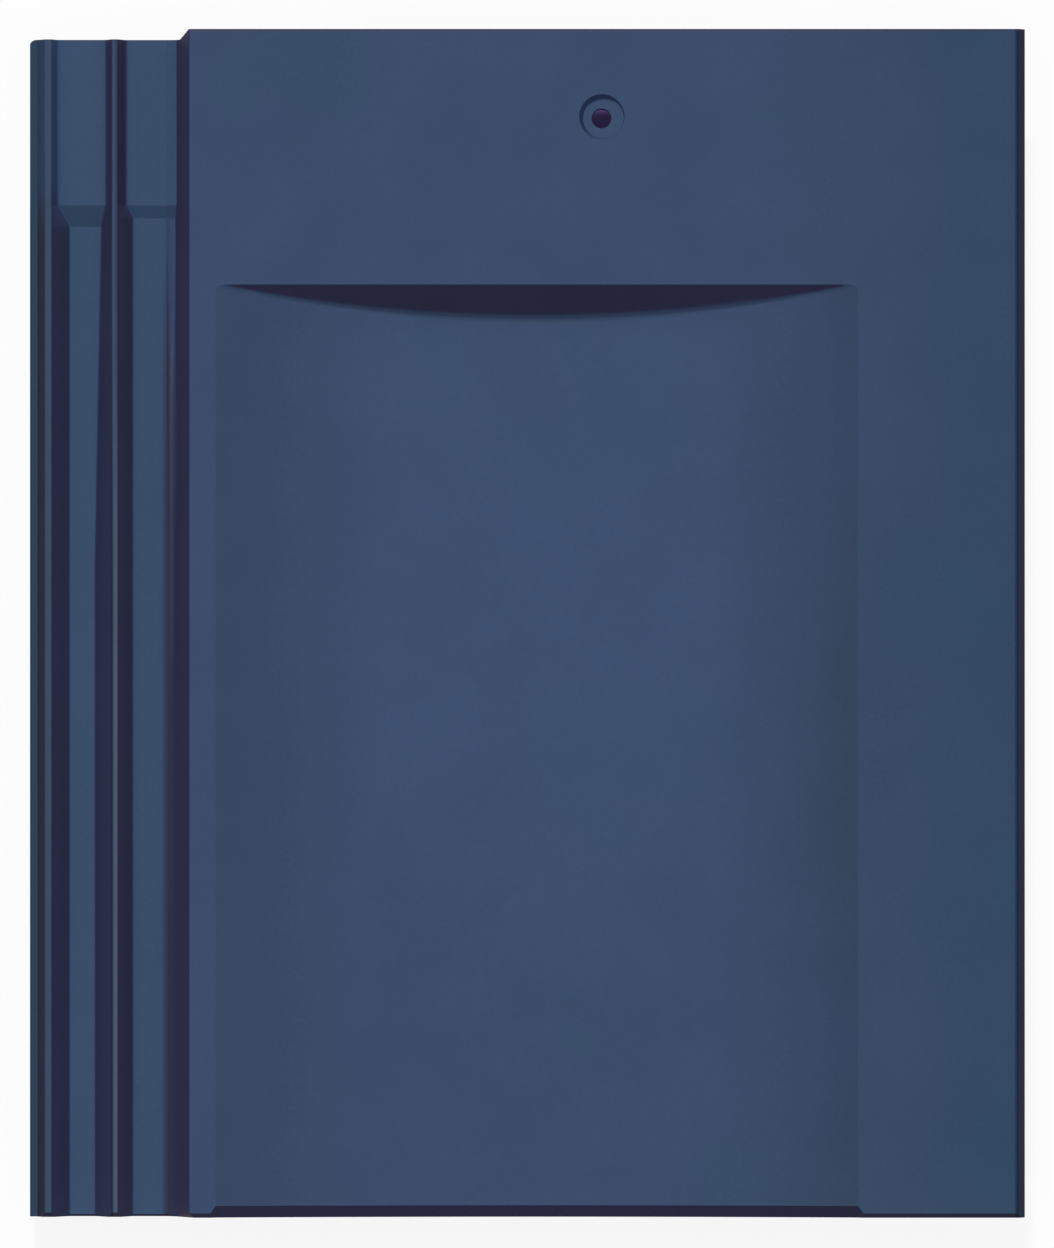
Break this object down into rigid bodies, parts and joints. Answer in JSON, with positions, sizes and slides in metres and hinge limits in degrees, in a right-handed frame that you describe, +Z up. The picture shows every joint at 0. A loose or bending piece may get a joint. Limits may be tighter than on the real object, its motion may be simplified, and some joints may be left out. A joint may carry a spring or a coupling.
{
  "type": "roof tile",
  "caption": "Flat interlocking concrete roof tile with a shallow dished panel, side channels that lock under the next tile, hanging lugs and a nail hole.",
  "frame": {"origin": "under the middle of the tile's outline, at the level where its lugs and foot bar rest", "axes": "+X from the underlock to the overlock, +Y from the foot to the head, +Z up out of the weather face"},
  "size_m": [0.352, 0.42, 0.028],
  "materials": {
    "tile": "matte blue colour coat on pressed concrete"
  },
  "bodies": {
    "root": {"roof_tile": "tile"}
  },
  "joints": []
}
